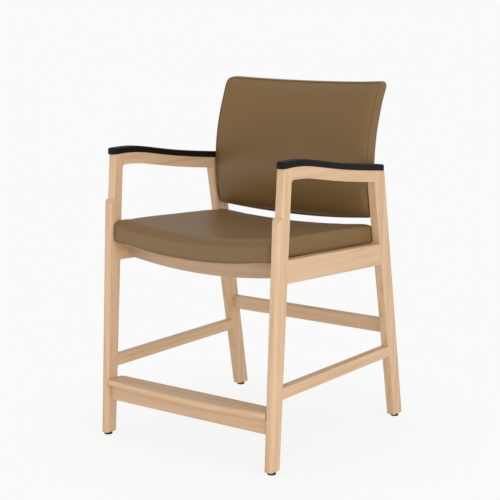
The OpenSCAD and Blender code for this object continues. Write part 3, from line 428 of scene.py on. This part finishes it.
def lengthwise(edge):
    """Long edges of a rail that runs from side to side."""
    way = (edge.verts[1].co - edge.verts[0].co).normalized()
    return abs(way.x) > 0.6 and edge.calc_length() > LEAST_RUN


def on_side_faces(edge):
    """Edges of an arm rail that follow its curve on the inner and outer face."""
    a, b = edge.verts[0].co, edge.verts[1].co
    return abs(a.x - b.x) < 0.1 * MM and abs(a.y - b.y) > LEAST_RUN / 2


members = []
for side in ("left", "right"):
    members.append(wooden(f"{side}_front_leg", "Z"))
    members.append(wooden(f"{side}_rear_leg", "Z"))
    members.append(wooden(f"{side}_arm_rail", "Y", ARM_EDGE, on_side_faces))
    members.append(wooden(f"{side}_seat_rail", "Y"))
    members.append(wooden(f"{side}_side_stretcher", "Y"))
# The front seat rail takes the maple with painted shade, darkened for the shade under the seat's front.
members.append(wooden("front_seat_rail", "painted shade X", FREE_EDGE, lengthwise))
members.append(wooden("rear_seat_rail", "X", FREE_EDGE, lengthwise))
for node in ("rear_stretcher", "footrest_rail", "footrest_tread"):
    members.append(wooden(node, "X"))
print("wooden members", len(members))

# %% [markdown]
# ## Arm caps
# Each cap is one moulding that follows the arm. The CAD loft has the right section and rounded ends, so
# its copy only needs smooth shading, which hides the facets of the round-overs.

# %% Arm caps
CAP_FOLD = 50

for side in ("left", "right"):
    node = f"{side}_arm_cap"
    bm = welded_copy(node)
    shade(bm, CAP_FOLD)
    cap = finished(bm, node + "_moulded", RUBBER, node)
    print(cap.name, len(cap.data.polygons), "faces")

# %% [markdown]
# ## Upholstery: a flat pad
# A seat like this is foam on a bent plywood pan with the cover pulled tight over it. It is made here in
# the same order: a flat boxed pad is cut a little small, filled, and bent over its board at the end. The
# pad starts as a block. Its corners are rounded in plan first and the edges of both faces after that, so
# that the edge runs round the corner in one sweep, as a sewn boxing does.

# %% A boxed pad
PAD_SEGMENTS = 6
IN_THE_FACE = 0.49


def box_pad(size, corner, face_edge, rear_edge, segments=PAD_SEGMENTS):
    """A flat pad centred on the origin, with its face towards +Z."""
    bm = bmesh.new()
    bmesh.ops.create_cube(bm, size=1.0)
    bmesh.ops.scale(bm, vec=size, verts=bm.verts)
    upright = [e for e in bm.edges if abs(e.verts[0].co.z - e.verts[1].co.z) > size[2] / 2]
    bevel(bm, upright, corner, segments)
    for way, radius in ((1, face_edge), (-1, rear_edge)):
        rim = [e for e in bm.edges if all(way * v.co.z > size[2] * IN_THE_FACE for v in e.verts)]
        bevel(bm, rim, radius, segments)
    return bm


# %% [markdown]
# ## An even mesh for the cloth
# Cloth only behaves alike everywhere if its faces are alike, so the block is remeshed into small squares
# of one size. The Remesh modifier is applied by taking the mesh that it shows.

# %% Remeshing
VOXEL = 5 * MM


def baked(thing, name):
    """The object's mesh as its modifiers show it now. The object itself is removed."""
    graph = bpy.context.evaluated_depsgraph_get()
    mesh = bpy.data.meshes.new_from_object(thing.evaluated_get(graph), depsgraph=graph)
    mesh.name = name
    bpy.data.objects.remove(thing)
    return mesh


def remeshed(bm, name, voxel):
    mesh = bpy.data.meshes.new(name)
    bm.to_mesh(mesh)
    bm.free()
    pad = bpy.data.objects.new(name, mesh)
    bpy.context.scene.collection.objects.link(pad)
    remesh = pad.modifiers.new("even_mesh", "REMESH")
    remesh.mode = "VOXEL"
    remesh.voxel_size = voxel
    return baked(pad, name)


# %% [markdown]
# ## Filling
# The cover is blown up by a short cloth simulation with pressure inside, so that the faces crown and the
# sides pull in at the corners. No point may move further than a swell of a few millimetres, which keeps
# the pad's size. The blown cover is then smoothed, and stretched back to the size of its board, because
# filling draws the sides in.

# %% Filled pads
PRESSURE = 4.0
CLOTH_FRAMES = 20
SMOOTHING_ROUNDS = 2


def filled(mesh, name, swell):
    """The pad after the cover is blown up, with no point moved further than swell."""
    start_points = [v.co.copy() for v in mesh.vertices]
    pad = bpy.data.objects.new(name + "_cover", mesh)
    scene = bpy.context.scene
    scene.collection.objects.link(pad)
    cloth = pad.modifiers.new("cover", "CLOTH")
    cloth.settings.use_pressure = True
    cloth.settings.uniform_pressure_force = PRESSURE
    cloth.settings.effector_weights.gravity = 0
    cloth.collision_settings.use_collision = False
    for number in range(1, CLOTH_FRAMES + 1):
        scene.frame_set(number)
    blown = baked(pad, name + "_blown")
    scene.frame_set(1)
    for vertex, start in zip(blown.vertices, start_points):
        move = vertex.co - start
        if move.length > swell:
            vertex.co = start + move * (swell / move.length)
    return blown


def smoothed(mesh):
    bm = bmesh.new()
    bm.from_mesh(mesh)
    for _ in range(SMOOTHING_ROUNDS):
        bmesh.ops.smooth_vert(bm, verts=bm.verts, factor=0.5, use_axis_x=True, use_axis_y=True,
                              use_axis_z=True)
    bm.to_mesh(mesh)
    bm.free()
    return mesh


def fitted(mesh, size):
    """The mesh centred and stretched to a size."""
    for axis in range(3):
        low = min(vertex.co[axis] for vertex in mesh.vertices)
        high = max(vertex.co[axis] for vertex in mesh.vertices)
        for vertex in mesh.vertices:
            vertex.co[axis] = (vertex.co[axis] - (low + high) / 2) * size[axis] / (high - low)
    return mesh


def stuffed(name, size, swell, corner, face_edge, rear_edge):
    """A pad that is cut small by its swell, filled, smoothed and fitted to its board."""
    cut = [length - swell for length in size]
    mesh = remeshed(box_pad(cut, corner, face_edge, rear_edge), name + "_pad", VOXEL)
    return fitted(smoothed(filled(mesh, name, swell)), size)


# %% [markdown]
# ## Bending and sewing
# A pad is bent by moving each of its points to its place on the board. Modelling the bent shape at once
# would be harder: on the flat pad every edge and seam is still a straight line. One level of subdivision
# takes the last facets out. A seam is a thin roll of cover: its path is drawn onto the bent pad by the
# nearest point of the surface, and the roll is sunk into it by half.


def upholstered(name, mesh, place, nodes, finer=True):
    """Bends the pad to its place and finishes it as a piece."""
    for vertex in mesh.vertices:
        vertex.co = place(vertex.co.copy())
    for polygon in mesh.polygons:
        polygon.use_smooth = True
    piece = new_piece(name, mesh, VINYL, nodes)
    if finer:
        subdivision = piece.modifiers.new("finer", "SUBSURF")
        subdivision.levels = 1
        subdivision.render_levels = 1
    print(name, len(mesh.vertices), "points")
    return piece


# %% Seams
SEAM_RADIUS = 1.5 * MM
SEAM_SUNK = 0.8 * MM
SEAM_STEP = 8 * MM
CORNER_STEPS = 6


def round_trip(width, height, corner):
    """Points along a rectangle with rounded corners, centred on the origin."""
    points = []
    for turn, (x, y) in enumerate(((1, 1), (-1, 1), (-1, -1), (1, -1))):
        centre = Vector((x * (width / 2 - corner), y * (height / 2 - corner)))
        for part in range(CORNER_STEPS + 1):
            angle = math.radians(90 * turn + 90 / CORNER_STEPS * part)
            points.append(centre + Vector((math.cos(angle), math.sin(angle))) * corner)
    path = []
    for start, end in zip(points, points[1:] + points[:1]):
        pieces = max(1, round((end - start).length / SEAM_STEP))
        path += [start.lerp(end, number / pieces) for number in range(pieces)]
    return path


def seam(name, pad, path):
    """A closed fold of cover along a path, laid half into the pad."""
    corners = [vertex.co for vertex in pad.data.vertices]
    tree = BVHTree.FromPolygons(corners, [list(face.vertices) for face in pad.data.polygons])
    line = bpy.data.curves.new(name, "CURVE")
    line.dimensions = "3D"
    line.bevel_depth = SEAM_RADIUS
    line.bevel_resolution = 2
    spline = line.splines.new("POLY")
    spline.points.add(len(path) - 1)
    spline.use_cyclic_u = True
    for spot, start in zip(spline.points, path):
        near, normal = tree.find_nearest(start)[:2]
        spot.co = (*(near - normal * SEAM_SUNK), 1)
    roll = bpy.data.objects.new(name, line)
    bpy.context.scene.collection.objects.link(roll)
    mesh = baked(roll, name)
    for polygon in mesh.polygons:
        polygon.use_smooth = True
    print(name, len(path), "points along the seam")
    return new_piece(name, mesh, VINYL, [])


# %% [markdown]
# ## Seat
# The seat is hollow from side to side, because its pan is bent, and slopes 3 degrees to the back. The
# foam is fuller towards the back of the middle, falls away over the front edge where the knees bend, and
# the cover is tucked under at the front. Each of these is one term of the bend below.

# %% Seat sizes
SEAT_WIDTH = 520 * MM
SEAT_DEPTH = 485 * MM
SEAT_HEIGHT = 63 * MM
SEAT_DISH = 24.5 * MM
SEAT_SLOPE = math.radians(2.86)
SEAT_FRONT_CROWN = 2 * MM
SEAT_REAR_CROWN = 13 * MM
SEAT_SIDE_CROWN = 4 * MM
SEAT_FALL = 5 * MM
SEAT_FALL_REACH = 40 * MM
SEAT_SKIRT = 3.5 * MM
SEAT_SKIRT_REACH = 14 * MM
SEAT_END_SKIRT = 6 * MM
SEAT_REAR_TAPER = 2.5 * MM
SEAT_SWELL = 5 * MM
SEAT_CORNER = 9 * MM
SEAT_EDGE = 14 * MM
SEAT_LOWER_EDGE = 10 * MM
PAN_MARGIN = 14 * MM
SEAT_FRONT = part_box("seat_cushion")[0][1]
SEAT_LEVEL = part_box("seat_pan")[0][2] + (SEAT_DEPTH - PAN_MARGIN) * math.sin(SEAT_SLOPE)
print("the seat starts at", round(SEAT_FRONT, 4), "and lies at", round(SEAT_LEVEL, 4))

# %% Seat cushion


def bend_seat(point):
    """From the flat pad, whose underside is at z = -SEAT_HEIGHT / 2, to the dished and sloping seat."""
    across = point.x / (SEAT_WIDTH / 2)
    along = 0.5 + point.y / SEAT_DEPTH
    level = point.z + SEAT_HEIGHT / 2
    depth = point.y + SEAT_DEPTH / 2
    filling = level / SEAT_HEIGHT
    crown = (SEAT_FRONT_CROWN + (SEAT_REAR_CROWN - SEAT_FRONT_CROWN) * along) * (1 - across * across)
    side = SEAT_SIDE_CROWN * (1 - (2 * along - 1) ** 4) * across * across
    fall = SEAT_FALL * max(0, 1 - depth / SEAT_FALL_REACH) ** 2
    skirt = (SEAT_SKIRT + SEAT_END_SKIRT * across ** 4) * max(0, 1 - depth / SEAT_SKIRT_REACH)
    raised = (crown + side - fall - SEAT_REAR_TAPER * along) * filling
    height = SEAT_DISH * across * across + level + raised - skirt * (1 - filling)
    return Vector((point.x,
                   SEAT_FRONT + depth * math.cos(SEAT_SLOPE) + height * math.sin(SEAT_SLOPE),
                   SEAT_LEVEL - depth * math.sin(SEAT_SLOPE) + height * math.cos(SEAT_SLOPE)))


seat_size = (SEAT_WIDTH, SEAT_DEPTH, SEAT_HEIGHT)
seat_mesh = stuffed("seat", seat_size, SEAT_SWELL, SEAT_CORNER, SEAT_EDGE, SEAT_LOWER_EDGE)
seat = upholstered("seat_upholstery", seat_mesh, bend_seat, ["seat_cushion"])

# %% [markdown]
# ## End seams of the seat
# The cover of the seat is one long sheet over top, front and underside, closed by a panel at each end.
# The seam round each end panel is what the eye reads as the edge of the cushion.

# %% End seams of the seat
for side, way in (("left", -1), ("right", 1)):
    outline = round_trip(SEAT_DEPTH, SEAT_HEIGHT, SEAT_EDGE)
    end_path = [bend_seat(Vector((way * SEAT_WIDTH / 2, spot.x, spot.y))) for spot in outline]
    seam(f"seat_{side}_seam", seat, end_path)

# %% [markdown]
# ## Back
# The back is a thinner pad on a panel that is hollow in plan and waisted in side view: it comes forward
# at the small of the back and leans away at the top. Its face is pulled down towards the edges, which
# gives the rolled rim, and its top and bottom lines dip in the middle because the back is hollow.

# %% Back sizes
BACK_WIDTH = 520 * MM
BACK_TOP = 950 * MM
BACK_TOP_DIP = 6 * MM
BACK_BOTTOM = 583 * MM
BACK_BOTTOM_DIP = 18 * MM
BACK_WAIST = 715 * MM
BACK_LEAN = 64 * MM
BACK_KICK = 20 * MM
BACK_HOLLOW = 22 * MM
BACK_THICKNESS = 48 * MM
BACK_CROWN = 10 * MM
BACK_PILLOW = 6 * MM
PILLOW_FLATNESS = 5
BACK_ROLL = 6 * MM
BACK_ROLL_REACH = 38 * MM
BACK_SWELL = 4 * MM
BACK_CORNER = 16 * MM
BACK_EDGE = 8 * MM
BACK_REAR_EDGE = 7 * MM
BACK_SETBACK = 458 * MM
BACK_HEIGHT = BACK_TOP - BACK_BOTTOM
foot_low, foot_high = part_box("left_front_glide")
BACK_FRONT = (foot_low[1] + foot_high[1]) / 2 + BACK_SETBACK
print("the waist of the back stands at", round(BACK_FRONT, 4))

# %% Back cushion


def back_line(height):
    """How far back the front face stands at a height above the floor."""
    if height > BACK_WAIST:
        return BACK_FRONT + BACK_LEAN * ((height - BACK_WAIST) / (BACK_TOP - BACK_WAIST)) ** 2
    return BACK_FRONT + BACK_KICK * ((BACK_WAIST - height) / (BACK_WAIST - BACK_BOTTOM)) ** 2


def near_rim(distance):
    return max(0, 1 - distance / BACK_ROLL_REACH) ** 2


def bend_back(point):
    """From the flat pad, x across, y up the back and z towards the sitter, to the bent back."""
    across = point.x / (BACK_WIDTH / 2)
    hollow = 1 - across * across
    upwards = 0.5 + point.y / BACK_HEIGHT
    top = BACK_TOP - BACK_TOP_DIP * hollow
    bottom = BACK_BOTTOM - BACK_BOTTOM_DIP * hollow
    height = bottom + (top - bottom) * upwards
    level = BACK_THICKNESS / 2 - point.z
    from_ends = abs(2 * point.y / BACK_HEIGHT)
    pillow = BACK_PILLOW * (1 - abs(across) ** PILLOW_FLATNESS) * (1 - from_ends ** PILLOW_FLATNESS)
    side_rim = near_rim(BACK_WIDTH / 2 - abs(point.x))
    end_rim = near_rim(BACK_HEIGHT / 2 - abs(point.y))
    roll = BACK_ROLL * (1 - (1 - side_rim) * (1 - end_rim))
    bulge = (pillow - roll + BACK_CROWN - BACK_PILLOW) * (1 - level / BACK_THICKNESS)
    return Vector((point.x, back_line(height) + BACK_HOLLOW * hollow + level - bulge, height))


back_size = (BACK_WIDTH, BACK_HEIGHT, BACK_THICKNESS)
back_mesh = stuffed("back", back_size, BACK_SWELL, BACK_CORNER, BACK_EDGE, BACK_REAR_EDGE)
back_mesh.flip_normals()
back = upholstered("back_upholstery", back_mesh, bend_back, ["back_cushion", "back_panel"])

# %% [markdown]
# ## Front seam of the back
# One seam runs round the face of the back, where the front sheet meets the boxing.

# %% Front seam of the back
front_path = [bend_back(Vector((spot.x, spot.y, BACK_THICKNESS / 2)))
              for spot in round_trip(BACK_WIDTH, BACK_HEIGHT, BACK_CORNER)]
seam("back_front_seam", back, front_path)

# %% [markdown]
# ## Outer back cover
# Behind, the pad is closed by a covered board that stands a little proud and leaves a margin all round.
# It takes the same bend as the pad, so the two stay parallel. It is hard and thin, so it isn't filled.

# %% Outer back cover
COVER_MARGIN = 16 * MM
COVER_SIDE_GAP = 4 * MM
COVER_PROUD = 1.2 * MM
COVER_THICKNESS = 7 * MM
COVER_EDGE = 2.4 * MM
COVER_SEGMENTS = 3
COVER_VOXEL = 3.2 * MM

cover_size = (BACK_WIDTH - 2 * COVER_MARGIN - 2 * COVER_SIDE_GAP, BACK_HEIGHT - 2 * COVER_MARGIN,
              COVER_THICKNESS)
cover_pad = box_pad(cover_size, BACK_CORNER, COVER_EDGE, COVER_EDGE, COVER_SEGMENTS)
cover_mesh = remeshed(cover_pad, "cover_pad", COVER_VOXEL)
for vertex in cover_mesh.vertices:
    vertex.co.z -= BACK_THICKNESS / 2 - COVER_THICKNESS / 2 + COVER_PROUD
cover_mesh.flip_normals()
upholstered("outer_back_cover", smoothed(cover_mesh), bend_back, ["back_outer_cover"], finer=False)

# %% [markdown]
# ## The pieces that stay as they are
# Brackets, glides, inserts, screws, bolts, dowels, blocks, pan and dust cover keep their CAD shapes, which
# are true already. They only get their finishes.

# %% Finishes on the frame's own pieces


def finish_of(node):
    if node.endswith("_dowels"):
        return BEECH
    if node.endswith("_glide"):
        return GLIDE
    if node.endswith("corner_block") or node in ("seat_pan", "back_panel"):
        return PLYWOOD
    if node == "seat_dust_cover":
        return FELT
    return ZINC


kept = {node: piece for node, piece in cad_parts.items() if not piece.hide_render}
for node, piece in kept.items():
    piece.data.materials.clear()
    piece.data.materials.append(finish_of(node))
print("pieces that keep their CAD shape", len(kept))

# %% [markdown]
# ## Floor and backdrop
# The picture was taken on a white sweep, with no horizon and a faint soft shadow under the chair. The
# floor shows the camera an almost white glow, and close to the chair it keeps a share of its own shading,
# so the shadow stays. There the glow is lifted a little, so that lit floor looks as white as the rest.

# %% Floor and backdrop
FLOOR_REACH = 30.0
FLOOR_COLOUR = (0.82, 0.82, 0.83, 1)
GLOW = 0.957
SHADOW_SHARE = 0.18
OPEN_FLOOR = 0.66
SHADOW_REACH = (0.4, 0.8)
LIFTED = (GLOW - SHADOW_SHARE * OPEN_FLOOR) / (1 - SHADOW_SHARE)

floor_bm = bmesh.new()
bmesh.ops.create_grid(floor_bm, x_segments=1, y_segments=1, size=FLOOR_REACH)
floor_mesh = bpy.data.meshes.new("floor")
floor_bm.to_mesh(floor_mesh)
floor_bm.free()
floor = bpy.data.objects.new("floor", floor_mesh)
bpy.context.scene.collection.objects.link(floor)

sweep = Finish("white_floor")
sweep.set(base_color=FLOOR_COLOUR, roughness=0.7)
seen = sweep.node("ShaderNodeLightPath")
distance = sweep.node("ShaderNodeVectorMath", {"operation": "LENGTH"},
                      {0: sweep.node("ShaderNodeTexCoord", output=3)}, output=1)
near_chair = sweep.node("ShaderNodeMapRange", {"interpolation_type": "SMOOTHSTEP"},
                        {"Value": distance, "From Min": SHADOW_REACH[0], "From Max": SHADOW_REACH[1],
                         "To Min": 1.0, "To Max": 0.0})
lift = sweep.mixed(near_chair, (GLOW, GLOW, GLOW, 1), (LIFTED, LIFTED, LIFTED, 1))
glow = sweep.node("ShaderNodeEmission", {}, {"Color": lift, "Strength": 1.0})
mixer = sweep.tree.nodes.new("ShaderNodeMixShader")
sweep.put(mixer.inputs[0], seen * (1 - near_chair * SHADOW_SHARE))
sweep.tree.links.new(sweep.shader.outputs[0], mixer.inputs[1])
sweep.tree.links.new(glow.socket, mixer.inputs[2])
sweep.tree.links.new(mixer.outputs[0], sweep.tree.nodes["Material Output"].inputs[0])
floor_mesh.materials.append(sweep.material)
print("floor glow", GLOW, "and near the chair", round(LIFTED, 3))

# %% [markdown]
# ## World and lamps
# The world gives an even light from all around, a little warm, and shows the camera the same white as the
# floor. One large soft box on the right models the forms, two low ones reach the legs and the underside
# from the front, and a weak one stands above. The levels are plain, so colours render about as written.

# %% World
AMBIENT = 0.62
AMBIENT_COLOUR = (1.0, 0.99, 0.98, 1)

world = bpy.data.worlds.new("studio")
world.use_nodes = True
bpy.context.scene.world = world
tree = world.node_tree
backdrop = tree.nodes["Background"]
backdrop.inputs["Color"].default_value = AMBIENT_COLOUR
backdrop.inputs["Strength"].default_value = AMBIENT
white = tree.nodes.new("ShaderNodeBackground")
white.inputs["Color"].default_value = (GLOW, GLOW, GLOW, 1)
white.inputs["Strength"].default_value = 1.0
path = tree.nodes.new("ShaderNodeLightPath")
blend = tree.nodes.new("ShaderNodeMixShader")
tree.links.new(path.outputs["Is Camera Ray"], blend.inputs[0])
tree.links.new(backdrop.outputs[0], blend.inputs[1])
tree.links.new(white.outputs[0], blend.inputs[2])
tree.links.new(blend.outputs[0], tree.nodes["World Output"].inputs[0])
print("light from all around", AMBIENT)

# %% Lamps


def softbox(name, place, aim, size, power):
    lamp = bpy.data.lights.new(name, "AREA")
    lamp.shape = "RECTANGLE"
    lamp.size, lamp.size_y = size
    lamp.energy = power
    box = bpy.data.objects.new(name, lamp)
    box.location = place
    box.rotation_euler = (Vector(aim) - Vector(place)).to_track_quat("-Z", "Y").to_euler()
    bpy.context.scene.collection.objects.link(box)
    print(name, power, "W")


softbox("right_softbox", place=(5.2, -1.4, 1.5), aim=(0, 0, 0.5), size=(2.8, 2.8), power=82)
softbox("low_front_softbox", place=(1.7, -2.1, 0.35), aim=(0, 0, 0.3), size=(1.8, 0.6), power=9)
softbox("low_left_softbox", place=(-1.6, -1.9, 0.35), aim=(0, 0, 0.3), size=(1.8, 0.6), power=7)
softbox("top_softbox", place=(0.0, -0.3, 3.2), aim=(0, 0, 0.6), size=(2.0, 2.0), power=9)
